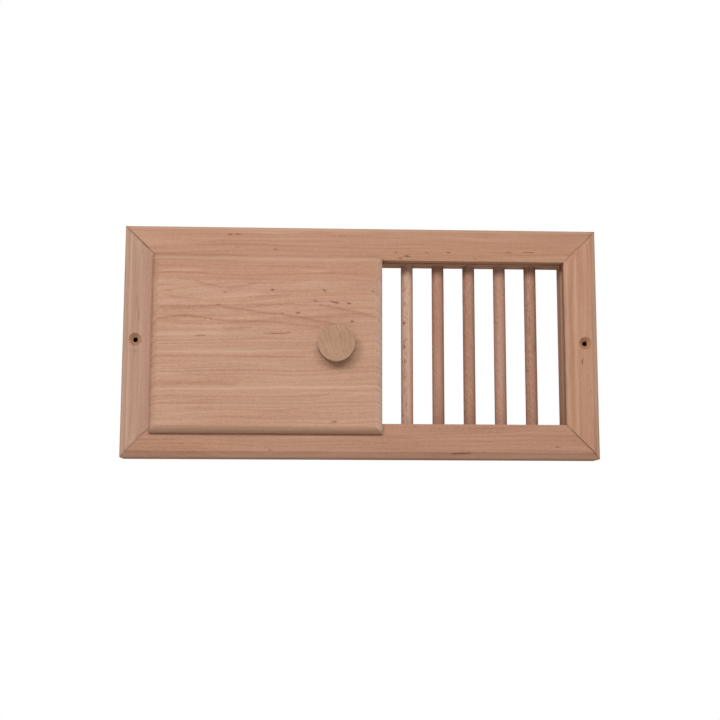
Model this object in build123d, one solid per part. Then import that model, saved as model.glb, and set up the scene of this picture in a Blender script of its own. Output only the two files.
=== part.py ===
# Sauna air vent: a mitred wooden frame with a grille of round dowels and a sliding panel.
# Millimetres, X along the vent, Z up, front towards -Y. The origin is on the wall plane,
# midway between the two screw holes.
import os
from build123d import *

# Frame
frame_width = 310.0
frame_height = 151.5
member_width = 22.0  # face width of the rails and stiles
outer_bevel_width = 4.0  # bevel along the outer front edge
outer_bevel_depth = 3.0
arris = 0.5  # eased sharp edges of the frame members
lip_thickness = 6.0  # in front of the groove
groove_width = 5.0
groove_spare = 0.5  # left free under the deepest tongue

# Screw holes through the stiles
screw_hole_diameter = 3.0
sink_diameter = 8.4
sink_angle = 90.0
screw_edge_distance = 8.4  # from the stile's outer edge

# Grille
dowel_diameter = 8.0
dowel_count = 5
dowel_pitch = 20.7
dowel_stile_distance = 19.5  # last dowel's axis to the right stile
dowel_wall = 2.0  # wood in front of and behind a dowel
dowel_socket_depth = 6.0
dowel_glue_gap = 0.05
dowel_chamfer = 0.6

# Sliding panel, slotted along its four edges to straddle the frame's lip
panel_width = 149.5
panel_side_lap = 3.7  # over the stiles
panel_edge_lap = 7.0  # over the rails, deeper because wood moves across its grain
panel_bevel_width = 4.6  # bevel along the front edges
panel_bevel_depth = 3.4
panel_bevel_bow = 0.3  # how far the bevel bulges
panel_edge_flat = 1.9  # straight edge behind the bevel
strip_height = 16.5  # upper strip, glued to the main board
running_gap = 0.3  # between the panel and the frame
swell_gap = 5.3  # free height above the panel

# Knob, a short turned disc
knob_diameter = 23.8
knob_height = 8.5
knob_bevel = 0.3
knob_edge_distance = 29.9  # knob axis to the panel's right edge
knob_drop = 0.8  # knob axis below the panel's middle

# Knob screw, driven from the back of the panel
knob_screw_diameter = 4.0
knob_screw_head_diameter = 7.6
knob_screw_grip = 6.0  # length inside the knob
knob_screw_tip = 2.5
knob_screw_gap = 0.05
recess_width = 1.1
recess_length = 4.0
recess_depth = 1.6

# Worked out from the sizes above
groove_depth = max(panel_edge_lap, panel_side_lap) + groove_spare
frame_depth = lip_thickness + groove_width + dowel_diameter + 2 * dowel_wall
opening_width = frame_width - 2 * member_width
opening_height = frame_height - 2 * member_width
front = -frame_depth
groove_front = front + lip_thickness
groove_back = groove_front + groove_width
dowel_y = groove_back + dowel_wall + dowel_diameter / 2
screw_x = frame_width / 2 - screw_edge_distance

tongue_front = groove_front + running_gap
panel_back = groove_back - running_gap
plate_back = front - running_gap
panel_front = plate_back - panel_edge_flat - panel_bevel_depth
panel_left = -opening_width / 2 + running_gap - panel_side_lap
panel_right = panel_left + panel_width
panel_bottom = -opening_height / 2 + running_gap - panel_edge_lap
panel_top = opening_height / 2 - swell_gap + panel_edge_lap
knob_x = panel_right - knob_edge_distance
knob_z = (panel_top + panel_bottom) / 2 - knob_drop


def block(low, high):
    """Box between two opposite corners."""
    size = [b - a for a, b in zip(low, high)]
    return Pos(*low) * Box(*size, align=(Align.MIN, Align.MIN, Align.MIN))


def turned(profile, position):
    """Solid of revolution about Y. The profile's X is the radius and its Y the place along the axis."""
    return position * revolve(make_face(profile), Axis.Y)


def member(length, reach):
    """Frame member along X, with its outer edge at Z = -reach and mitred ends."""
    outer = -reach
    inner = outer + member_width
    floor = inner - groove_depth
    outline = [
        (0, outer),
        (front + outer_bevel_depth, outer),
        (front, outer + outer_bevel_width),
        (front, inner),
        (groove_front, inner),
        (groove_front, floor),
        (groove_back, floor),
        (groove_back, inner),
        (0, inner),
    ]
    section = make_face(Polyline(*outline, close=True))
    kept_sharp = [(front, outer + outer_bevel_width), (groove_front, floor), (groove_back, floor)]
    eased_at = [corner for corner in outline if corner not in kept_sharp]
    eased = [section.vertices().sort_by_distance(corner)[0] for corner in eased_at]
    section = fillet(eased, arris)
    bar = extrude(Plane.YZ * section, amount=length / 2, both=True)
    half = length / 2
    mitred = Polyline(
        (-half, outer), (half, outer), (half - member_width, inner), (member_width - half, inner), close=True
    )
    cutter = extrude(Plane.XZ * make_face(mitred), amount=frame_depth, both=True)
    return bar & cutter


def screw_hole():
    """Countersunk hole through a stile, along Y."""
    hole = screw_hole_diameter / 2
    sink = sink_diameter / 2
    cone_depth = (sink - hole) / tan_degrees(sink_angle / 2)
    profile = Polyline(
        (0, front),
        (sink, front),
        (hole, front + cone_depth),
        (hole, 0),
        (0, 0),
        close=True,
    )
    return turned(profile, Pos(0, 0, 0))


def tan_degrees(angle):
    """Tangent of an angle in degrees."""
    direction = Vector(1, 0).rotate(Axis.Z, angle)
    return direction.Y / direction.X


def dowel(x):
    """Round dowel, set in blind sockets in both rails."""
    length = opening_height + 2 * dowel_socket_depth
    rod = Cylinder(dowel_diameter / 2, length)
    rod = chamfer(rod.edges().filter_by(GeomType.CIRCLE), dowel_chamfer)
    return Pos(x, dowel_y, 0) * rod


def sockets():
    """The dowels' sockets, as one tool for both rails."""
    length = opening_height + 2 * dowel_socket_depth
    return [Pos(x, dowel_y, 0) * Cylinder(dowel_diameter / 2 + dowel_glue_gap, length) for x in dowel_places]


def plate_section(low, high):
    """Section through the panel's front plate: flat front and back, bowed bevels and straight edges."""
    edge = plate_back - panel_edge_flat
    flat = Line((low + panel_bevel_width, panel_front), (high - panel_bevel_width, panel_front))
    high_bevel = SagittaArc(flat @ 1, (high, edge), -panel_bevel_bow)
    back = Polyline((high, edge), (high, plate_back), (low, plate_back), (low, edge))
    low_bevel = SagittaArc((low, edge), flat @ 0, -panel_bevel_bow)
    return make_face([flat, high_bevel, back, low_bevel])


def panel():
    """Whole sliding panel: a bevelled front plate, a web between the slots and a tongue in the groove."""
    across = extrude(plate_section(panel_left, panel_right), amount=frame_height, both=True)
    upright = extrude(Plane.ZY * plate_section(panel_bottom, panel_top), amount=frame_width, both=True)
    plate = across & upright
    web = block(
        (panel_left + panel_side_lap, plate_back, panel_bottom + panel_edge_lap),
        (panel_right - panel_side_lap, tongue_front, panel_top - panel_edge_lap),
    )
    tongue = block((panel_left, tongue_front, panel_bottom), (panel_right, panel_back, panel_top))
    return plate + web + tongue - screw_passage()


def screw_passage():
    """Clearance hole for the knob screw, with a countersink in the panel's back."""
    hole = knob_screw_diameter / 2 + knob_screw_gap
    head = knob_screw_head_diameter / 2 + knob_screw_gap
    profile = Polyline(
        (0, panel_front),
        (hole, panel_front),
        (hole, panel_back - (head - hole)),
        (head, panel_back),
        (0, panel_back),
        close=True,
    )
    return turned(profile, Pos(knob_x, 0, knob_z))


def knob():
    """Turned disc with bevelled edges and a blind hole for its screw."""
    rim = knob_diameter / 2
    face = panel_front - knob_height
    hole = knob_screw_diameter / 2 + knob_screw_gap
    hole_end = panel_front - knob_screw_grip - knob_screw_gap
    profile = Polyline(
        (hole, panel_front),
        (rim - knob_bevel, panel_front),
        (rim, panel_front - knob_bevel),
        (rim, face + knob_bevel),
        (rim - knob_bevel, face),
        (0, face),
        (0, hole_end),
        (hole, hole_end),
        close=True,
    )
    return turned(profile, Pos(knob_x, 0, knob_z))


def knob_screw():
    """Countersunk wood screw with a cross recess, its head flush with the panel's back."""
    shank = knob_screw_diameter / 2
    head = knob_screw_head_diameter / 2
    end = panel_front - knob_screw_grip
    profile = Polyline(
        (0, panel_back),
        (head, panel_back),
        (shank, panel_back - (head - shank)),
        (shank, end + knob_screw_tip),
        (0, end),
        close=True,
    )
    screw = turned(profile, Pos(knob_x, 0, knob_z))
    for size in ((recess_length, recess_width), (recess_width, recess_length)):
        slot = Box(size[0], 2 * recess_depth, size[1])
        screw -= Pos(knob_x, panel_back, knob_z) * slot
    return screw


first_dowel = opening_width / 2 - dowel_stile_distance - (dowel_count - 1) * dowel_pitch
dowel_places = [first_dowel + i * dowel_pitch for i in range(dowel_count)]

rail = member(frame_width, frame_height / 2)
stile = member(frame_height, frame_width / 2)
whole_panel = panel()
glue_line = panel_top - strip_height
above_glue_line = block((panel_left, panel_front, glue_line), (panel_right, panel_back, panel_top))

nodes = {
    "top_rail": Rot(0, 180, 0) * rail - sockets(),
    "bottom_rail": rail - sockets(),
    "left_stile": Rot(0, 90, 0) * stile - Pos(-screw_x, 0, 0) * screw_hole(),
    "right_stile": Rot(0, -90, 0) * stile - Pos(screw_x, 0, 0) * screw_hole(),
    "panel_strip": whole_panel & above_glue_line,
    "panel_board": whole_panel - above_glue_line,
    "knob": knob(),
    "knob_screw": knob_screw(),
}
for number, place in enumerate(dowel_places, start=1):
    nodes[f"dowel_{number}"] = dowel(place)

os.makedirs("parts", exist_ok=True)
for name, shape in nodes.items():
    export_step(shape, f"parts/{name}.step")
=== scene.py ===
# Looks of the sauna air vent: solid alder with listed flecks and growth lines, soft light and
# the photo's camera. Materials work in millimetres, in the part's own frame: X along the vent, Z up,
# front towards -Y.
import math

import bpy
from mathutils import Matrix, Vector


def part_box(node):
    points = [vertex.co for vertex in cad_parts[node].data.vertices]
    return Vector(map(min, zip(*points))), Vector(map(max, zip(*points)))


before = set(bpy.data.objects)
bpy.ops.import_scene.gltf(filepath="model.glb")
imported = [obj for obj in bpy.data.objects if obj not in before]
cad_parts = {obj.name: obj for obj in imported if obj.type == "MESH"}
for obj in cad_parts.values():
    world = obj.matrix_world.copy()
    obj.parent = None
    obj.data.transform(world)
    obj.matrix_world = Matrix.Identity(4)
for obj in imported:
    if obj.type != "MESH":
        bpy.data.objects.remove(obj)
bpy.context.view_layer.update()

MM = 0.001


def srgb(red, green, blue):
    """Linear colour from the usual 0 to 255 values."""
    linear = []
    for value in (red, green, blue):
        share = value / 255
        linear.append(share / 12.92 if share < 0.04045 else ((share + 0.055) / 1.055) ** 2.4)
    return (*linear, 1.0)


# Paints for marks in the wood, for painted shade and for painted highlights
DARK = srgb(108, 42, 14)
BROWN = srgb(132, 80, 52)
RED = srgb(152, 96, 68)
LIGHT = srgb(212, 176, 153)
ORANGE = srgb(196, 133, 78)
WHITE = srgb(232, 214, 200)
JOINT = srgb(86, 48, 24)
# Painted shade for the deep bore of a screw hole
HOLE_SHADE = srgb(40, 26, 20)
# Brown for painted shade by edges, in recesses and on the knob's side
PAINTED_SHADE = srgb(92, 62, 44)

# Streaks
STREAK_DEPTH = 6.0  # how deep a streak goes into the wood
TIP_WIDTH = 0.3  # share of its width that a streak keeps at its ends
HALO = 2.2  # width of a streak's faint border, in streak widths
HALO_STRENGTH = 0.36
SKIRTS = {RED: 3.5}  # by paint: how much wider a growth line is below, where it fades slowly
WAVER_SIZES = (12, 12, 12)
WAVER = 1.6  # how far a streak wavers, from side to side
DASHED = (0.3, 0.65)  # dash noise at which a streak is at its strongest and at its weakest
DASHED_STRENGTHS = (1.15, 0.7)  # its strength there

# Growth rings
WAVE_SIZES = (70, 30, 22)
WAVE_REACH = 8.0  # how far a wave of 1 bends the rings, from side to side
RING_DRIFT = 0.012  # how fast the layers change along the grain
YEAR_SIZES = (5, 6, 1)
YEAR_SPREAD = 3.0  # how uneven the years are
LATE_START = 0.3  # part of the year at which late wood begins
LATE_PEAK = 0.93
WEAKEST_YEAR = 0.1

# Noises in the wood: sizes along, into and across the grain. Layers and lines follow the rings.
LAYER_SIZES = (0.8, 1.2, 1)
LINE_SIZES = (0.33, 1.4, 1)
FIBRE_SIZES = (45, 0.75, 0.75)
DASH_SIZES = (1.5, 0.5, 0.5)
FINE_SIZES = (5, 0.26, 0.26)
PATCH_SIZES = (60, 10, 10)
VESSELS = (0.58, 0.72)  # fine noise between which open vessels appear

# How far each of them moves the tone, and the usual tone
MID_TONE = 0.54
LATE_TONE = -0.22
LAYER_TONE = 0.36
LINE_TONE = 0.5
FIBRE_TONE = 0.38
DASH_TONE = 0.54
PATCH_TONE = 0.35
VESSEL_TONE = -0.12

# The darkest and the palest tone, as shares of the usual colour
DARKEST = (0.70, 0.60, 0.53, 1.0)
PALEST = (1.22, 1.36, 1.48, 1.0)

# Ray flecks on the dowels
RAY_SIZES = (2.4, 0.7, 0.7)
RAY_SEED = 2
RAYS = (0.52, 0.68)  # ray noise between which a fleck appears
BETWEEN_RAYS = (0.45, 0.3)
BETWEEN_STRENGTH = 0.4
FLECK_REACH = 6.5  # how far back they go from a dowel's foremost line
FLECK_EDGE = (1.5, -0.5)  # from a dowel's weak side to its strong side
WEAK_SIDE = 0.35

# End grain
END_GRAIN = (0.2, 0.6)  # turn towards the grain between which it appears
PORE_SIZES = (4, 0.32, 0.32)
PORE_SEED = 1
PORES = (0.56, 0.74)
PORE_STRENGTH = 0.25
GUM_SIZES = (9, 0.9, 0.9)
GUM_SEED = 4
GUM = (0.67, 0.72)
GUM_STRENGTH = 0.5
END_TINT = (0.93, 0.92, 0.90, 1.0)
# Panel end tints, for the end facing left and the end facing right. The right end is painted much
# paler and greyer: painted light from the right, on top of the end grain's own slight paleness.
PANEL_END_TINTS_WITH_PAINTED_LIGHT = ((1.05, 1.06, 1.08, 1.0), (1.14, 1.28, 1.44, 1.0))

# Drilled screw holes in the stiles
SINK_RADIUS = 4.2
SINK_EDGE = 0.1  # how soft the countersink's rim is
HOLE_RADIUS = 1.5
# Softness of the edge of the bore's painted shade
HOLE_SHADE_EDGE = 0.15
TOOL_MARK = 0.9  # from one ring of tool marks to the next
TOOL_MARK_STRENGTH = 0.25
FRESH_TINT = (1.0, 0.93, 0.83, 1.0)
SCREW_X = 146.6

# Worn edges
WEAR_RADIUS = 0.5
WEAR = (0.99, 0.85)  # cosine of the edge's turn between which wear appears
WEAR_STRENGTH = 0.5
WEAR_SAMPLES = 4

# Gloss of the wood, and its bump: strength, depth and the heights in it
WOOD_ROUGHNESS = (0.5, 0.78)
WOOD_SPECULAR = 0.28
WOOD_BUMP = 0.35
WOOD_BUMP_DEPTH = 0.15
FINE_HEIGHT = 0.5
PORE_HEIGHT = 1.5
TOOL_MARK_HEIGHT = 0.5

# Zinc-plated steel
DULL_ZINC = srgb(186, 180, 168)
BRIGHT_ZINC = srgb(214, 208, 190)
SCUFF_SIZES = (0.8, 0.15, 0.8)
CLOUD_SIZES = (2.5, 2.5, 2.5)
STEEL_ROUGHNESS = (0.22, 0.48)
STEEL_BUMP = 0.2
STEEL_BUMP_DEPTH = 0.05


class Graph:
    """A node tree with short ways to add nodes. Inputs are sockets or plain values."""

    def __init__(self, tree):
        self.tree = tree

    def add(self, kind, inputs, **settings):
        """Adds a node, sets its options and feeds its inputs, which are given by name or number."""
        node = self.tree.nodes.new(kind)
        for name, value in settings.items():
            setattr(node, name, value)
        for name, value in inputs.items():
            if isinstance(value, bpy.types.NodeSocket):
                self.tree.links.new(value, node.inputs[name])
            else:
                node.inputs[name].default_value = value
        return node

    def math(self, operation, *values, clamp=False):
        """Result of a math node."""
        inputs = dict(enumerate(values))
        return self.add("ShaderNodeMath", inputs, operation=operation, use_clamp=clamp).outputs[0]

    def chain(self, operation, values):
        """Result of a math operation that takes up one value after another."""
        result = values[0]
        for value in values[1:]:
            result = self.math(operation, result, value)
        return result

    def plus(self, *values):
        """Sum of several values."""
        return self.chain("ADD", values)

    def times(self, *values):
        """Product of several values."""
        return self.chain("MULTIPLY", values)

    def minus(self, first, second):
        """First value less the second."""
        return self.math("SUBTRACT", first, second)

    def over(self, first, second):
        """First value divided by the second."""
        return self.math("DIVIDE", first, second)

    def hypot(self, first, second):
        """Length of a vector with these two components."""
        squares = self.plus(self.times(first, first), self.times(second, second))
        return self.math("SQRT", squares)

    def swing(self, value, reach):
        """A value around 0.5, moved to swing around 0 with this reach from side to side."""
        return self.times(self.minus(value, 0.5), reach)

    def vector(self, operation, *values):
        """Result of a vector math node."""
        inputs = dict(enumerate(values))
        return self.add("ShaderNodeVectorMath", inputs, operation=operation).outputs[0]

    def split(self, vector):
        """The three components of a vector."""
        return self.add("ShaderNodeSeparateXYZ", {0: vector}).outputs[:3]

    def join(self, *values):
        """A vector from three components."""
        return self.add("ShaderNodeCombineXYZ", dict(enumerate(values))).outputs[0]

    def place(self):
        """The place on the part, in millimetres."""
        place = self.add("ShaderNodeTexCoord", {}).outputs["Object"]
        return self.vector("MULTIPLY", place, (1 / MM, 1 / MM, 1 / MM))

    def smooth(self, value, start, end):
        """0 at start and 1 at end, with soft ends."""
        inputs = {"Value": value, "From Min": start, "From Max": end}
        return self.add("ShaderNodeMapRange", inputs, interpolation_type="SMOOTHSTEP").outputs[0]

    def span(self, value, low, high, start=0.0, end=1.0):
        """Low at start and high at end."""
        inputs = {"Value": value, "From Min": start, "From Max": end, "To Min": low, "To Max": high}
        return self.add("ShaderNodeMapRange", inputs).outputs[0]

    def noise(self, point, sizes, detail=2.0, seed=0.0):
        """Noise around 0.5 with features of these sizes."""
        scale = tuple(1 / size for size in sizes)
        moved = self.vector("MULTIPLY_ADD", point, scale, (seed, 2 * seed, 3 * seed))
        inputs = {"Vector": moved, "Scale": 1.0, "Detail": detail}
        return self.add("ShaderNodeTexNoise", inputs).outputs[0]

    def mix(self, factor, first, second, blend="MIX"):
        """Two colours mixed. The node has its colours at inputs 6 and 7 and output 2."""
        inputs = {0: factor, 6: first, 7: second}
        return self.add("ShaderNodeMix", inputs, data_type="RGBA", blend_type=blend).outputs[2]


def streak_group():
    """Node group that paints one tapered line along the grain: a fleck, a growth line or a band."""
    tree = bpy.data.node_groups.new("streak", "ShaderNodeTree")
    sockets = {
        "Base": "Color",
        "Point": "Vector",
        "Start": "Vector",
        "End": "Vector",
        "Sag": "Float",
        "Half Width": "Float",
        "Skirt": "Float",
        "Paint": "Color",
        "Strength": "Float",
    }
    for name, kind in sockets.items():
        tree.interface.new_socket(name=name, in_out="INPUT", socket_type=f"NodeSocket{kind}")
    tree.interface.new_socket(name="Color", in_out="OUTPUT", socket_type="NodeSocketColor")
    graph = Graph(tree)
    given = graph.add("NodeGroupInput", {}).outputs

    # The line's middle beside this point, and how far the point lies beyond the line's ends.
    # The bow is 0 at both ends and 1 halfway.
    along, depth, across = graph.split(given["Point"])
    start_along, start_depth, start_across = graph.split(given["Start"])
    end_along, _, end_across = graph.split(given["End"])
    length = graph.minus(end_along, start_along)
    gone = graph.minus(along, start_along)
    share = graph.math("DIVIDE", gone, length, clamp=True)
    bow = graph.times(share, graph.minus(1.0, share), 4.0)
    rise = graph.minus(end_across, start_across)
    straight = graph.math("MULTIPLY_ADD", rise, share, start_across)
    middle = graph.minus(straight, graph.times(bow, given["Sag"]))
    beyond = graph.minus(gone, graph.times(length, share))

    # The square of the distance from it, counted in line widths and in depths
    taper = graph.math("MULTIPLY_ADD", graph.math("SQRT", bow), 1 - TIP_WIDTH, TIP_WIDTH)
    width = graph.times(given["Half Width"], taper)
    above = graph.over(graph.minus(across, middle), width)
    below = graph.over(above, graph.times(given["Skirt"], -1.0))
    off_line = graph.math("MAXIMUM", above, below)
    off_end = graph.over(beyond, given["Half Width"])
    off_face = graph.over(graph.minus(depth, start_depth), STREAK_DEPTH)
    square = graph.plus(*[graph.times(value, value) for value in (off_line, off_end, off_face)])

    core = graph.smooth(square, 1.0, 0.0)
    halo = graph.times(graph.smooth(square, HALO * HALO, 0.0), HALO_STRENGTH)
    factor = graph.times(graph.math("MAXIMUM", core, halo), given["Strength"])
    painted = graph.mix(factor, given["Base"], given["Paint"])
    graph.add("NodeGroupOutput", {0: painted})
    return tree


STREAK = streak_group()


def blank_material(name):
    """A new material and its empty graph."""
    material = bpy.data.materials.new(name)
    material.use_nodes = True
    material.node_tree.nodes.clear()
    return material, Graph(material.node_tree)


def add_surface(graph, look, height, bump, depth):
    """Ends a material's graph: a shader with these inputs, and a bump of this strength and depth."""
    inputs = {"Strength": bump, "Distance": depth * MM, "Height": height}
    normal = graph.add("ShaderNodeBump", inputs).outputs[0]
    shader = graph.add("ShaderNodeBsdfPrincipled", {**look, "Normal": normal})
    graph.add("ShaderNodeOutputMaterial", {"Surface": shader.outputs[0]})


def growth_rings(graph, point, heart, ring, seed, lean, wave):
    """The place in the rings, counted in years of growth, and the share of late wood there."""
    along, depth, across = graph.split(point)
    bend = graph.swing(graph.noise(point, WAVE_SIZES, 1.0, seed), WAVE_REACH * wave)
    into = graph.minus(depth, graph.math("MULTIPLY_ADD", along, lean, heart[0]))
    aside = graph.minus(across, heart[1])
    radius = graph.plus(graph.hypot(into, aside), bend)
    layer = graph.join(graph.times(radius, 1 / ring), graph.times(along, RING_DRIFT), seed)

    uneven = graph.noise(layer, YEAR_SIZES, 1.0)
    year = graph.math("MULTIPLY_ADD", uneven, YEAR_SPREAD, graph.over(radius, ring))
    whole_year = graph.math("FLOOR", year)
    part_year = graph.minus(year, whole_year)
    growing = graph.smooth(part_year, LATE_START, LATE_PEAK)
    ending = graph.smooth(part_year, 1.0, LATE_PEAK)
    random = graph.add("ShaderNodeTexWhiteNoise", {"W": whole_year}, noise_dimensions="1D")
    vigour = graph.span(random.outputs[0], WEAKEST_YEAR, 1.0)
    return layer, graph.times(growing, ending, vigour)


def tone_colour(graph, tone, mid):
    """Colour of a tone from 0, the darkest, to 1, the palest, with the usual colour halfway."""
    ramp = graph.add("ShaderNodeValToRGB", {0: tone})
    stops = ramp.color_ramp.elements
    for stop, shares in zip(stops, (DARKEST, PALEST)):
        stop.color = [value * share for value, share in zip(mid, shares)]
    stops.new(0.5).color = mid
    return ramp.outputs[0]


def paint_streaks(graph, colour, point, dashes, streaks, face, tilt, seed):
    """Streaks, with a slight waver and broken up by the dashes."""
    along, depth, across = graph.split(point)
    waver = graph.swing(graph.noise(point, WAVER_SIZES, 2.0, seed), WAVER)
    sunk = graph.times(graph.minus(depth, face), -tilt)
    traced = graph.join(along, depth, graph.plus(across, waver, sunk))
    broken = graph.span(dashes, *DASHED_STRENGTHS, *DASHED)
    for start, end, half_width, sag, paint, strength in streaks:
        inputs = {
            "Base": colour,
            "Point": traced,
            "Start": (start[0], face, start[1]),
            "End": (end[0], face, end[1]),
            "Sag": sag,
            "Half Width": half_width,
            "Skirt": SKIRTS.get(paint, 1.0),
            "Paint": paint,
            "Strength": graph.times(broken, strength),
        }
        colour = graph.add("ShaderNodeGroup", inputs, node_tree=STREAK).outputs[0]
    return colour


def paint_flecks(graph, colour, point, strength, side, face, seed):
    """Short red-brown flecks where the face runs along the rays, and paler wood between them."""
    _, depth, across = graph.split(point)
    rays = graph.noise(point, RAY_SIZES, 1.0, seed + RAY_SEED)
    strong = graph.smooth(across, side + FLECK_EDGE[0], side + FLECK_EDGE[1])
    front = graph.smooth(depth, face + FLECK_REACH, face + FLECK_REACH / 2)
    near = graph.times(front, graph.span(strong, WEAK_SIDE * strength, strength))
    colour = graph.mix(graph.times(graph.smooth(rays, *RAYS), near), colour, RED)
    pale = graph.times(graph.smooth(rays, *BETWEEN_RAYS), BETWEEN_STRENGTH * strength)
    return graph.mix(graph.times(front, pale), colour, LIGHT)


def end_colour(graph, colour, point, facing, pores, ends, seed):
    """Colour of end grain: tinted, open-pored and specked with gum."""
    tint = graph.mix(graph.math("GREATER_THAN", facing, 0.0), *ends)
    tinted = graph.mix(1.0, colour, tint, "MULTIPLY")
    pored = graph.mix(graph.times(graph.smooth(pores, *PORES), PORE_STRENGTH), tinted, BROWN)
    gum = graph.smooth(graph.noise(point, GUM_SIZES, 1.0, seed + GUM_SEED), *GUM)
    return graph.mix(graph.times(gum, GUM_STRENGTH), pored, DARK)


def drill(graph, colour, height, point, hole):
    """A drilled hole: fresh wood with tool marks in its countersink, and painted shade further in,
    where the bore is deep.
    """
    along, _, across = graph.split(point)
    reach = graph.hypot(graph.minus(along, hole[0]), graph.minus(across, hole[1]))
    cut = graph.smooth(reach, SINK_RADIUS + SINK_EDGE, SINK_RADIUS - SINK_EDGE)
    marks = graph.math("SINE", graph.times(reach, 2 * math.pi / TOOL_MARK))
    fresh = graph.mix(graph.span(marks, 0.0, TOOL_MARK_STRENGTH), colour, BROWN)
    fresh = graph.mix(1.0, fresh, FRESH_TINT, "MULTIPLY")
    colour = graph.mix(cut, colour, fresh)
    # Painted shade in the narrow bore
    bore_shade = graph.smooth(reach, HOLE_RADIUS + HOLE_SHADE_EDGE, HOLE_RADIUS)
    colour = graph.mix(bore_shade, colour, HOLE_SHADE)
    return colour, graph.math("MULTIPLY_ADD", graph.times(marks, cut), TOOL_MARK_HEIGHT, height)


def wear_edges(graph, colour, fibre):
    """Handled edges, which are paler."""
    rounded = graph.add("ShaderNodeBevel", {"Radius": WEAR_RADIUS * MM}, samples=WEAR_SAMPLES)
    normal = graph.add("ShaderNodeNewGeometry", {}).outputs["Normal"]
    inputs = {0: rounded.outputs[0], 1: normal}
    turn = graph.add("ShaderNodeVectorMath", inputs, operation="DOT_PRODUCT").outputs["Value"]
    wear = graph.times(graph.smooth(turn, *WEAR), graph.span(fibre, 0.0, WEAR_STRENGTH))
    return graph.mix(wear, colour, LIGHT)


def wood(
    name,
    grain,
    mid,
    heart,
    ring,
    streaks=(),
    face=0.0,
    seed=0.0,
    lean=0.0,
    wave=0.6,
    contrast=1.0,
    rings=1.0,
    tilt=0.0,
    ends=(END_TINT, END_TINT),
    hole=None,
    flecks=0.0,
    fleck_side=0.0,
    painted_shades=(),
):
    """Solid alder.

    grain: the axes along the grain, into the wood and across the face, such as "xyz".
    mid: the usual colour.
    heart: the log's centre line, into and across. ring: width of a year's growth.
    streaks: (start, end, half width, sag, paint, strength), with start and end along and across.
    face: the place of the face that carries them, into the wood.
    lean: how far the heart goes into the wood for each millimetre along the grain.
    wave: how much the rings wave. rings: strength of the rings. contrast: strength of all marks.
    tilt: how far a streak moves across for each millimetre that it goes deeper.
    ends: tints of the end grain that faces against and along the grain axis.
    hole: middle of a countersunk hole, along and across.
    flecks: strength of the ray flecks. fleck_side: the place across, left of which they are strong.
    painted_shades: (axis, place where it starts, place where it is full, strength) of painted shade
    towards an edge.
    """
    material, graph = blank_material(name)
    axis = dict(zip("xyz", graph.split(graph.place())))
    point = graph.join(*[axis[letter] for letter in grain])
    fibre = graph.noise(point, FIBRE_SIZES, 2.0, seed)
    dashes = graph.noise(point, DASH_SIZES, 1.0, seed)
    fine = graph.noise(point, FINE_SIZES, 2.0, seed)

    layer, late = growth_rings(graph, point, heart, ring, seed, lean, wave)
    layers = graph.noise(layer, LAYER_SIZES, 2.0)
    lines = graph.noise(layer, LINE_SIZES, 1.0, seed)
    patch = graph.noise(point, PATCH_SIZES, 1.0, seed)
    tone = graph.plus(
        MID_TONE,
        graph.times(late, LATE_TONE * contrast * rings),
        graph.swing(layers, LAYER_TONE * contrast * rings),
        graph.swing(lines, LINE_TONE * contrast),
        graph.swing(fibre, FIBRE_TONE * contrast),
        graph.swing(dashes, DASH_TONE * contrast),
        graph.swing(patch, PATCH_TONE * contrast),
        graph.times(graph.smooth(fine, *VESSELS), VESSEL_TONE * contrast),
    )
    colour = tone_colour(graph, tone, mid)
    colour = paint_streaks(graph, colour, point, dashes, streaks, face, tilt, seed)
    if flecks:
        colour = paint_flecks(graph, colour, point, flecks, fleck_side, face, seed)

    normal = graph.add("ShaderNodeTexCoord", {}).outputs["Normal"]
    facing = graph.split(normal)["xyz".index(grain[0])]
    end_grain = graph.smooth(graph.math("ABSOLUTE", facing), *END_GRAIN)
    pores = graph.noise(point, PORE_SIZES, 2.0, seed + PORE_SEED)
    colour = graph.mix(end_grain, colour, end_colour(graph, colour, point, facing, pores, ends, seed))

    # Painted shade: the colour darkens towards an edge or a recess
    for letter, start, full, strength in painted_shades:
        shade_amount = graph.times(graph.smooth(axis[letter], start, full), strength)
        colour = graph.mix(shade_amount, colour, PAINTED_SHADE)

    fibre_height = graph.math("MULTIPLY_ADD", fine, FINE_HEIGHT, fibre)
    height = graph.minus(fibre_height, graph.times(pores, end_grain, PORE_HEIGHT))
    if hole:
        colour, height = drill(graph, colour, height, point, hole)
    look = {
        "Base Color": wear_edges(graph, colour, fibre),
        "Roughness": graph.span(fibre, *WOOD_ROUGHNESS),
        "Specular IOR Level": WOOD_SPECULAR,
    }
    add_surface(graph, look, height, WOOD_BUMP, WOOD_BUMP_DEPTH)
    return material


def steel(name):
    """Zinc-plated steel with faint turning marks."""
    material, graph = blank_material(name)
    place = graph.place()
    scuffs = graph.noise(place, SCUFF_SIZES, 3.0)
    clouds = graph.noise(place, CLOUD_SIZES, 2.0)
    look = {
        "Base Color": graph.mix(clouds, DULL_ZINC, BRIGHT_ZINC),
        "Metallic": 1.0,
        "Roughness": graph.span(scuffs, *STEEL_ROUGHNESS),
    }
    add_surface(graph, look, scuffs, STEEL_BUMP, STEEL_BUMP_DEPTH)
    return material


def in_mm(box):
    """The two corners of a box in millimetres."""
    return [[value / MM for value in corner] for corner in box]


# Faces and corners that the streaks are placed on
frame_low, frame_high = in_mm(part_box("left_stile"))
frame_face = frame_low[1]
outer_x = frame_low[0]
inner_x = frame_high[0]
outer_z = frame_high[2]
inner_z = outer_z - (inner_x - outer_x)
board_low, board_high = in_mm(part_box("panel_board"))
panel_face = board_low[1]
panel_left = board_low[0]
panel_right = board_high[0]
panel_bottom = board_low[2]
glue_z = board_high[2]
knob_face = in_mm(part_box("knob"))[0][1]

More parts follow.
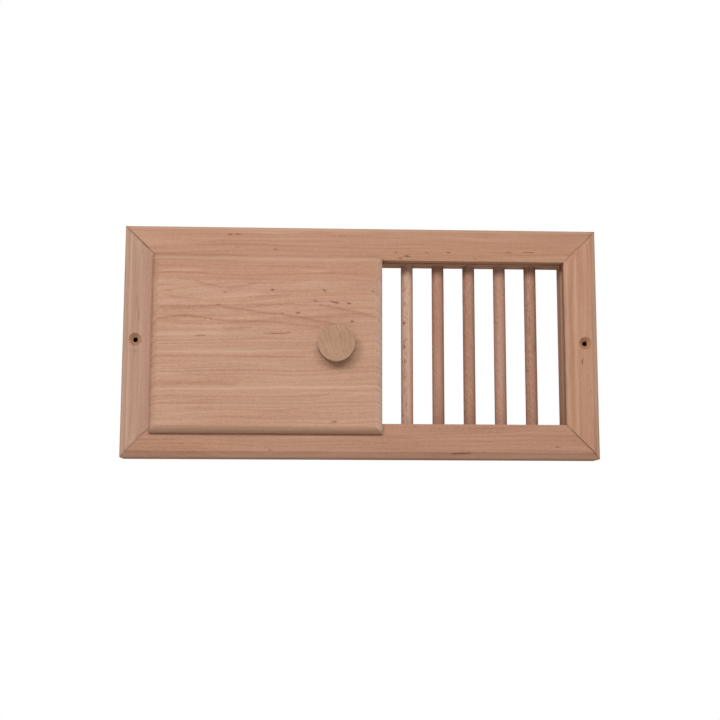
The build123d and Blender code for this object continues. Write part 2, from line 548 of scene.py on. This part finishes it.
# Painted shade along edges: axis, where it starts, where it is full, and strength
# The panel darkens towards its left end and its bottom edge: painted shade where it stands over the
# frame
left_edge_shade = ("x", panel_left + 2.8, panel_left + 0.3, 0.28)
bottom_edge_shade = ("z", panel_bottom + 4.2, panel_bottom, 0.36)
# The knob's side darkens towards the panel: painted shade where it stands on the panel
knob_side_shade = ("y", knob_face + 0.3, knob_face + 2.5, 0.4)

# Strength of the mitre joints' dark lines: -1 left or 1 right, and -1 bottom or 1 top
MITRES = {(-1, 1): 0.95, (1, 1): 0.6, (-1, -1): 0.6, (1, -1): 1.0}
MITRE_HALF_WIDTH = 0.65


def mitre(side, end, upright=False):
    """Dark line of a mitre joint, for a rail or an upright stile."""
    corner = (-side * outer_x, end * outer_z)
    inside = (-side * inner_x, end * inner_z)
    if upright:
        corner, inside = corner[::-1], inside[::-1]
    return (corner, inside, MITRE_HALF_WIDTH, 0.0, JOINT, MITRES[side, end])


# Streaks: start and end along and across the grain, half width, sag, paint and strength
top_rail_streaks = [
    mitre(-1, 1),
    mitre(1, 1),
    ((-88.0, 70.2), (-85.0, 70.3), 0.45, 0.1, DARK, 0.94),
    ((-83.2, 70.4), (-79.8, 70.6), 0.45, 0.0, DARK, 0.74),
    ((-83.0, 61.5), (-80.8, 61.4), 0.45, 0.0, BROWN, 0.56),
    ((-58.2, 60.6), (-55.2, 60.3), 0.45, 0.0, DARK, 0.62),
    ((21.5, 59.4), (22.7, 59.3), 0.55, 0.0, DARK, 0.95),
    ((27.6, 56.7), (31.8, 56.3), 0.65, -0.2, DARK, 0.82),
    ((24.0, 55.5), (26.2, 55.3), 0.5, 0.0, DARK, 0.74),
    ((41.5, 59.3), (44.0, 59.0), 0.4, 0.0, BROWN, 0.48),
    ((55.7, 59.8), (58.0, 59.6), 0.45, 0.0, DARK, 0.94),
    ((73.8, 55.9), (75.2, 55.9), 0.5, 0.0, BROWN, 0.64),
    ((95.0, 60.5), (98.6, 60.4), 0.4, 0.1, DARK, 0.74),
    ((106.5, 60.6), (113.5, 60.5), 0.45, 0.1, DARK, 0.74),
    ((-136, 56.8), (-76, 56.4), 0.7, 0.3, BROWN, 0.28),
    ((-140, 66.0), (-60, 66.6), 0.6, 0.5, BROWN, 0.16),
    ((-20, 70.0), (60, 69.0), 0.6, 0.3, BROWN, 0.18),
    ((-10, 64.2), (44, 65.4), 0.5, 0.5, BROWN, 0.20),
    ((34, 61.4), (130, 61.0), 0.5, 0.0, LIGHT, 0.24),
    # Painted highlight along the top bevel, which faces the light from above
    ((-150, 74.6), (150, 74.6), 2.0, 0.0, LIGHT, 0.42),
    ((-10, 63.0), (150, 63.0), 9.0, 0.0, BROWN, 0.1),
    ((10, 62.0), (150, 62.0), 8.0, 0.0, ORANGE, 0.1),
]

bottom_rail_streaks = [
    mitre(-1, -1),
    mitre(1, -1),
    ((58.8, -72.6), (70.8, -72.3), 0.6, 0.0, DARK, 0.72),
    ((49.0, -57.2), (52.0, -57.1), 0.5, 0.0, BROWN, 0.40),
    ((34.5, -66.1), (37.0, -66.0), 0.4, 0.0, BROWN, 0.36),
    ((33.0, -55.8), (36.0, -55.7), 0.5, 0.0, BROWN, 0.40),
    ((125.2, -68.2), (128.4, -68.0), 0.5, 0.0, DARK, 0.68),
    ((-116, -66.9), (-114, -66.8), 0.4, 0.0, BROWN, 0.48),
    ((-59.8, -71.4), (-57.5, -71.3), 0.6, 0.0, BROWN, 0.56),
    ((-86, -63.8), (-82, -63.7), 0.4, 0.0, BROWN, 0.40),
    ((-120, -64.0), (-20, -62.6), 0.5, 0.3, LIGHT, 0.24),
    ((-90, -67.4), (10, -67.0), 0.6, 0.0, BROWN, 0.14),
    ((20, -64.4), (110, -62.4), 0.5, -0.4, LIGHT, 0.2),
    # Paler band along the bottom bevel: painted light from below
    ((-152, -74.2), (152, -74.2), 1.6, 0.0, LIGHT, 0.10),
]

left_stile_streaks = [
    mitre(-1, 1, upright=True),
    mitre(-1, -1, upright=True),
    ((60, -138.4), (-60, -139.2), 2.4, 0.0, RED, 0.20),
    ((68, -150.6), (-66, -150.4), 1.3, 0.3, LIGHT, 0.24),
    # Paler band along the outer bevel: painted light on the bevel
    ((74, -153.6), (-74, -153.6), 1.9, 0.0, LIGHT, 0.42),
    ((60, -147.6), (-66, -147.8), 1.0, -0.2, BROWN, 0.13),
    ((56, -143.4), (-60, -143.2), 1.2, 0.0, LIGHT, 0.2),
    ((29, -145.8), (12, -144.5), 0.6, 0.3, BROWN, 0.40),
    ((-6.6, -146.7), (-8.4, -146.5), 0.5, 0.0, BROWN, 0.56),
    ((-2.4, -145.2), (-1.2, -142.6), 0.7, 0.0, DARK, 0.82),
]

right_stile_streaks = [
    mitre(1, 1, upright=True),
    mitre(1, -1, upright=True),
    ((54, 135.2), (-54, 134.9), 1.2, 0.0, LIGHT, 0.32),
    ((56, 138.0), (-56, 137.8), 1.3, 0.0, RED, 0.12),
    ((58, 140.8), (-60, 140.5), 1.2, 0.2, LIGHT, 0.36),
    ((66, 149.5), (-68, 149.2), 1.2, 0.4, BROWN, 0.12),
    ((-10.2, 144.7), (-14.2, 144.2), 0.55, 0.2, DARK, 0.74),
    ((-30.6, 149.2), (-33.4, 149.0), 0.4, 0.0, BROWN, 0.40),
    ((61.5, 142.2), (53.6, 134.6), 0.9, -0.5, ORANGE, 0.56),
    ((-53.8, 133.6), (-55.8, 135.6), 0.9, 0.0, ORANGE, 0.5),
    ((-4, 144.0), (-80, 144.0), 9.0, 0.0, BROWN, 0.12),
    # Paler band along the outer bevel: painted light on the bevel
    ((74, 153.4), (-74, 153.4), 1.9, 0.0, LIGHT, 0.4),
    # Painted shade on the stile's inner edge, beside the opening
    ((58, 132.8), (-58, 132.8), 1.0, 0.0, PAINTED_SHADE, 0.36),
]

glue_line = ((panel_left, glue_z), (panel_right, glue_z), 0.35, 0.0, JOINT, 0.22)
strip_streaks = [
    glue_line,
    ((-131, 44.6), (-104, 45.4), 0.6, 0.0, LIGHT, 0.4),
    ((-134, 43.2), (-96, 43.6), 0.5, 0.2, BROWN, 0.24),
    ((-96, 41.0), (10, 40.8), 1.1, 0.0, ORANGE, 0.14),
    ((-66, 48.4), (-24, 48.0), 0.6, 0.0, BROWN, 0.24),
    ((-40, 45.2), (-22, 44.8), 0.5, 0.0, LIGHT, 0.4),
    ((-30, 43.6), (8, 43.4), 0.5, 0.0, BROWN, 0.24),
    ((-120, 50.2), (8, 50.6), 0.5, 0.0, BROWN, 0.16),
    # Painted highlight along the panel's top bevel, which faces the light from above
    ((-134, 53.4), (11, 53.4), 2.3, 0.0, LIGHT, 0.4),
]

board_streaks = [
    glue_line,
    ((-89.8, 30.4), (-88.0, 30.5), 0.75, 0.0, DARK, 0.47),
    ((-59.3, 32.3), (-57.3, 32.1), 0.75, 0.0, DARK, 0.81),
    ((-25.3, 32.7), (-23.9, 32.0), 0.75, 0.0, DARK, 0.78),
    ((6.2, 32.1), (7.6, 31.9), 0.7, 0.0, DARK, 0.68),
    ((9.0, 31.3), (9.6, 31.0), 0.5, 0.0, DARK, 0.65),
    ((-31.5, 25.2), (-29.4, 24.9), 0.65, 0.0, DARK, 0.70),
    ((-20.6, 24.8), (-15.0, 24.0), 0.6, 0.0, DARK, 0.70),
    ((-9.8, 24.1), (-7.4, 24.0), 0.65, 0.0, DARK, 0.73),
    ((-43.0, 17.2), (-40.4, 17.5), 0.65, 0.0, DARK, 0.68),
    ((-53.2, 16.6), (-51.0, 16.5), 0.5, 0.0, BROWN, 0.50),
    ((-7.4, 11.9), (-5.4, 12.0), 0.65, 0.0, DARK, 0.83),
    ((-19.4, -53.0), (-16.4, -53.0), 0.65, 0.0, DARK, 0.70),
    ((-107.6, 1.8), (-101.0, 2.0), 0.5, 0.0, DARK, 0.65),
    ((-64.0, 3.4), (-46.0, 4.4), 0.42, 0.3, DARK, 0.60),
    ((6.3, -4.4), (6.9, -4.4), 0.7, 0.0, ORANGE, 0.60),
    ((6.5, -5.4), (7.1, -5.4), 0.7, 0.0, ORANGE, 0.66),
    ((6.7, -6.4), (7.4, -6.7), 0.6, 0.0, ORANGE, 0.55),
    ((-99.9, 12.4), (-98.9, 12.3), 0.6, 0.0, WHITE, 0.5),
    ((-132, 21.2), (-92, 22.2), 0.6, 0.1, RED, 0.53),
    ((-94, 22.2), (-50, 16.3), 0.6, 0.5, RED, 0.49),
    ((-52, 16.5), (-18, 10.1), 0.6, -0.5, RED, 0.42),
    ((-132, 13.9), (-113, 15.5), 0.5, 0.2, RED, 0.53),
    ((-115, 15.5), (-97, 12.9), 0.5, -0.4, RED, 0.46),
    ((-99, 13.0), (-52, 11.4), 0.5, 0.5, RED, 0.42),
    ((-54, 11.5), (-27, 8.4), 0.5, 0.3, RED, 0.37),
    ((-128, 28.6), (-104, 25.9), 0.4, 0.4, RED, 0.35),
    ((-106, 25.9), (-72, 27.9), 0.4, 0.6, ORANGE, 0.45),
    ((-74, 27.7), (-46, 29.6), 0.4, -0.2, RED, 0.35),
    ((-48, 29.6), (9, 27.8), 0.4, -0.8, ORANGE, 0.36),
    ((-110, 38.9), (-66, 38.4), 0.5, 4.6, RED, 0.35),
    ((-94, 22.3), (-26, 22.5), 0.4, -0.5, RED, 0.34),
    ((-28, 22.6), (9, 15.0), 0.5, -0.9, RED, 0.42),
    ((-136, 5.6), (-70, 5.4), 0.35, 0.0, BROWN, 0.26),
    ((-136, 2.6), (-60, 3.4), 1.6, 0.0, LIGHT, 0.22),
    ((-90, 7.3), (-72, 7.9), 0.4, 0.0, RED, 0.42),
    ((-131, -3.4), (-74, -1.3), 0.4, 0.5, BROWN, 0.30),
    ((-127, 31.6), (-123, 31.4), 0.4, 0.0, RED, 0.34),
    ((-54, 32.0), (-27, 32.1), 0.35, 0.0, BROWN, 0.26),
    ((-136, -11.0), (-37, -11.1), 0.5, 0.0, RED, 0.35),
    ((-136, -8.2), (-29, -6.4), 1.2, 0.6, LIGHT, 0.38),
    ((-133, -13.4), (-66, -17.0), 0.4, 0.0, BROWN, 0.20),
    ((-133, -20.6), (-77, -26.4), 0.4, 0.0, BROWN, 0.18),
    ((-136, -28.0), (-80, -28.7), 0.5, 0.0, RED, 0.25),
    ((-133, -32.6), (9, -29.9), 1.2, 0.4, LIGHT, 0.42),
    ((-136, 35.0), (-118, 34.8), 0.4, 0.0, BROWN, 0.30),
    ((-27, -37.0), (9, -35.0), 0.6, 0.0, LIGHT, 0.36),
    ((-114, -44.8), (-95, -44.8), 0.4, 0.0, RED, 0.25),
    ((-60, -46.8), (8, -42.6), 0.5, -0.8, BROWN, 0.20),
    ((-132, -40.4), (-101, -38.9), 0.5, 0.0, LIGHT, 0.3),
    ((-128, -49.8), (-111, -48.2), 0.5, 0.0, LIGHT, 0.28),
]

# Torn fibres at the board's left end: where each one starts along and lies across, and its strength
TORN_LENGTH = 0.9
TORN_HALF_WIDTH = 0.45
torn_fibres = (
    (-136.2, 34.6, 0.5),
    (-136.2, 30.9, 0.6),
    (-136.0, 27.3, 0.4),
    (-136.3, 24.0, 0.6),
    (-136.2, 21.6, 0.5),
    (-136.3, 17.8, 0.5),
    (-136.2, 13.2, 0.45),
    (-136.2, 9.0, 0.5),
    (-136.2, 4.4, 0.45),
    (-136.2, -1.5, 0.5),
    (-136.2, -7.0, 0.4),
    (-136.2, -15.5, 0.45),
    (-136.2, -27.0, 0.4),
)
for x, z, strength in torn_fibres:
    end = (x + TORN_LENGTH, z)
    board_streaks.append(((x, z), end, TORN_HALF_WIDTH, 0.0, JOINT, strength))

dowel_streaks = {
    1: [
        ((52, 31.6), (-50, 31.4), 0.6, 0.0, LIGHT, 0.5),
        ((50, 28.4), (36, 28.6), 0.5, 0.0, RED, 0.29),
        ((28.8, 28.8), (27.6, 28.8), 0.6, 0.0, DARK, 0.40),
        ((15.6, 28.7), (13.8, 28.7), 0.75, 0.0, DARK, 0.92),
        ((3.2, 28.6), (2.2, 28.6), 0.7, 0.0, DARK, 0.60),
        ((-0.4, 28.7), (-2.4, 28.7), 0.75, 0.0, DARK, 0.85),
        ((-10.4, 28.8), (-12.2, 28.8), 0.7, 0.0, DARK, 0.65),
        ((-16.0, 28.6), (-24.0, 28.8), 0.5, 0.0, RED, 0.32),
        ((-30.0, 28.7), (-32.0, 28.7), 0.6, 0.0, DARK, 0.45),
        ((-38.4, 29.8), (-40.0, 29.8), 0.6, 0.0, DARK, 0.45),
    ],
    5: [
        ((20, 112.2), (8, 112.4), 0.5, 0.0, DARK, 0.39),
        ((2, 115.4), (-4, 115.5), 0.6, 0.0, DARK, 0.39),
        ((-16.0, 110.3), (-17.4, 110.3), 0.6, 0.0, DARK, 0.50),
    ],
}

# Usual colours of the pieces
TOP_WOOD = srgb(183, 138, 111)
BOTTOM_WOOD = srgb(178, 132, 106)
LEFT_WOOD = srgb(182, 143, 121)
RIGHT_WOOD = srgb(185, 139, 111)
BOARD_WOOD = srgb(188, 145, 119)
STRIP_WOOD = srgb(183, 137, 110)
KNOB_WOOD = srgb(182, 142, 116)
DOWEL_WOODS = {
    1: srgb(193, 155, 133),
    2: srgb(173, 128, 106),
    3: srgb(168, 124, 103),
    4: srgb(179, 137, 116),
    5: srgb(172, 129, 108),
}

# The dowels' wood
DOWEL_FLECKS = {1: 0.75, 2: 0.4, 3: 0.6, 4: 0.5, 5: 0.7}
DOWEL_FLECK_SIDE = -1.5  # from a dowel's axis
DOWEL_HEART = (30, 9)  # from a dowel's axis, into the wood and to one side or the other
DOWEL_RING = 1.8
DOWEL_SEED = 40
DOWEL_SEED_STEP = 5.3

materials = {
    "top_rail": wood(
        "alder_top_rail",
        "xyz",
        TOP_WOOD,
        heart=(50, 20),
        ring=1.7,
        streaks=top_rail_streaks,
        face=frame_face,
        seed=3.1,
    ),
    "bottom_rail": wood(
        "alder_bottom_rail",
        "xyz",
        BOTTOM_WOOD,
        heart=(40, -10),
        ring=1.7,
        streaks=bottom_rail_streaks,
        face=frame_face,
        seed=7.7,
    ),
    "left_stile": wood(
        "alder_left_stile",
        "zyx",
        LEFT_WOOD,
        heart=(60, -110),
        ring=2.2,
        streaks=left_stile_streaks,
        face=frame_face,
        seed=12.4,
        contrast=0.8,
        hole=(0.0, -SCREW_X),
    ),
    "right_stile": wood(
        "alder_right_stile",
        "zyx",
        RIGHT_WOOD,
        heart=(55, 100),
        ring=2.0,
        streaks=right_stile_streaks,
        face=frame_face,
        seed=15.9,
        contrast=0.9,
        hole=(0.0, SCREW_X),
    ),
    "panel_board": wood(
        "alder_board",
        "xyz",
        BOARD_WOOD,
        heart=(30, 52),
        ring=2.2,
        streaks=board_streaks,
        face=panel_face,
        seed=21.3,
        lean=0.03,
        tilt=-1.2,
        ends=PANEL_END_TINTS_WITH_PAINTED_LIGHT,
        painted_shades=(left_edge_shade, bottom_edge_shade),
    ),
    "panel_strip": wood(
        "alder_strip",
        "xyz",
        STRIP_WOOD,
        heart=(30, 5),
        ring=1.6,
        streaks=strip_streaks,
        face=panel_face,
        seed=26.8,
        rings=0.5,
        ends=PANEL_END_TINTS_WITH_PAINTED_LIGHT,
        painted_shades=(left_edge_shade,),
    ),
    "knob": wood(
        "alder_knob",
        "yxz",
        KNOB_WOOD,
        heart=(-66, -30),
        ring=2.9,
        seed=31.2,
        wave=2.2,
        contrast=1.2,
        painted_shades=(knob_side_shade,),
    ),
    "knob_screw": steel("zinc_plated_steel"),
}
for number, mid in DOWEL_WOODS.items():
    low, high = in_mm(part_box(f"dowel_{number}"))
    x, y = ((low[i] + high[i]) / 2 for i in range(2))
    materials[f"dowel_{number}"] = wood(
        f"alder_dowel_{number}",
        "zyx",
        mid,
        heart=(y + DOWEL_HEART[0], x + DOWEL_HEART[1] * (-1) ** number),
        ring=DOWEL_RING,
        streaks=dowel_streaks.get(number, ()),
        face=low[1],
        seed=DOWEL_SEED + DOWEL_SEED_STEP * number,
        flecks=DOWEL_FLECKS[number],
        fleck_side=x + DOWEL_FLECK_SIDE,
    )

for name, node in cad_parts.items():
    for slot in node.material_slots:
        slot.material = materials[name]

# Camera, as the photo's lines give it
scene = bpy.context.scene
scene.view_settings.view_transform = "Standard"
camera_data = bpy.data.cameras.new("camera")
camera_data.sensor_width = 36.0
camera_data.lens = 61.66
camera = bpy.data.objects.new("camera", camera_data)
camera.location = (-0.0347, -0.8142, -0.1267)
camera.rotation_euler = (math.radians(98.217), math.radians(-0.122), math.radians(-2.438))
scene.collection.objects.link(camera)
scene.camera = camera

# Plain pale floor, ending just below the camera's view so that the picture's background stays white
FLOOR_Z = -0.32
FLOOR_HALF_WIDTH = 1.6
FLOOR_FRONT = -2.0
FLOOR_REACH = 0.97  # how far it goes towards the camera's lowest ray
half_view = math.atan(camera_data.sensor_width / 2 / camera_data.lens)
lowest_ray = half_view - (camera.rotation_euler.x - math.pi / 2)
floor_drop = camera.location.z - FLOOR_Z
floor_back = camera.location.y + FLOOR_REACH * floor_drop / math.tan(lowest_ray)
floor_mesh = bpy.data.meshes.new("floor")
corners = [
    (-FLOOR_HALF_WIDTH, FLOOR_FRONT, FLOOR_Z),
    (FLOOR_HALF_WIDTH, FLOOR_FRONT, FLOOR_Z),
    (FLOOR_HALF_WIDTH, floor_back, FLOOR_Z),
    (-FLOOR_HALF_WIDTH, floor_back, FLOOR_Z),
]
floor_mesh.from_pydata(corners, [], [(0, 1, 2, 3)])
floor = bpy.data.objects.new("floor", floor_mesh)
scene.collection.objects.link(floor)
floor_material = bpy.data.materials.new("pale_floor")
floor_material.use_nodes = True
floor_shader = floor_material.node_tree.nodes["Principled BSDF"]
floor_shader.inputs["Base Color"].default_value = (0.74, 0.74, 0.73, 1.0)
floor_shader.inputs["Roughness"].default_value = 0.9
floor_mesh.materials.append(floor_material)

LIGHT_DISTANCE = 1.5


def soft_light(name, azimuth, elevation, width, height, power):
    """Soft box that faces the vent, at degrees to the right of the front and degrees up."""
    data = bpy.data.lights.new(name, "AREA")
    data.shape = "RECTANGLE"
    data.size = width
    data.size_y = height
    data.energy = power
    light = bpy.data.objects.new(name, data)
    turn = math.radians(azimuth)
    rise = math.radians(elevation)
    away = Vector((math.sin(turn) * math.cos(rise), -math.cos(turn) * math.cos(rise), math.sin(rise)))
    light.location = LIGHT_DISTANCE * away
    light.rotation_euler = (-away).to_track_quat("-Z", "Y").to_euler()
    scene.collection.objects.link(light)


soft_light("wide", azimuth=3.0, elevation=27.0, width=1.2, height=0.55, power=12.2)
soft_light("left", azimuth=-32.0, elevation=22.0, width=0.4, height=0.4, power=7.1)
soft_light("right", azimuth=80.0, elevation=15.0, width=0.8, height=0.8, power=3.1)
soft_light("back", azimuth=182.0, elevation=35.0, width=0.8, height=0.8, power=5.5)

# White to the camera. As a light it comes from above only, strongest overhead.
SKY_LEVEL = 0.05
SKY_RISE = 0.2
world = bpy.data.worlds.new("studio")
world.use_nodes = True
world.node_tree.nodes.clear()
sky = Graph(world.node_tree)
upwards = sky.split(sky.add("ShaderNodeTexCoord", {}).outputs["Generated"])[2]
rising = sky.math("MULTIPLY_ADD", upwards, SKY_RISE, SKY_LEVEL)
glow = sky.times(rising, sky.math("GREATER_THAN", upwards, 0.0))
seen = sky.add("ShaderNodeLightPath", {}).outputs["Is Camera Ray"]
sky_inputs = {"Color": (1.0, 1.0, 1.0, 1.0), "Strength": sky.span(seen, glow, 1.0)}
background = sky.add("ShaderNodeBackground", sky_inputs)
sky.add("ShaderNodeOutputWorld", {"Surface": background.outputs[0]})
scene.world = world
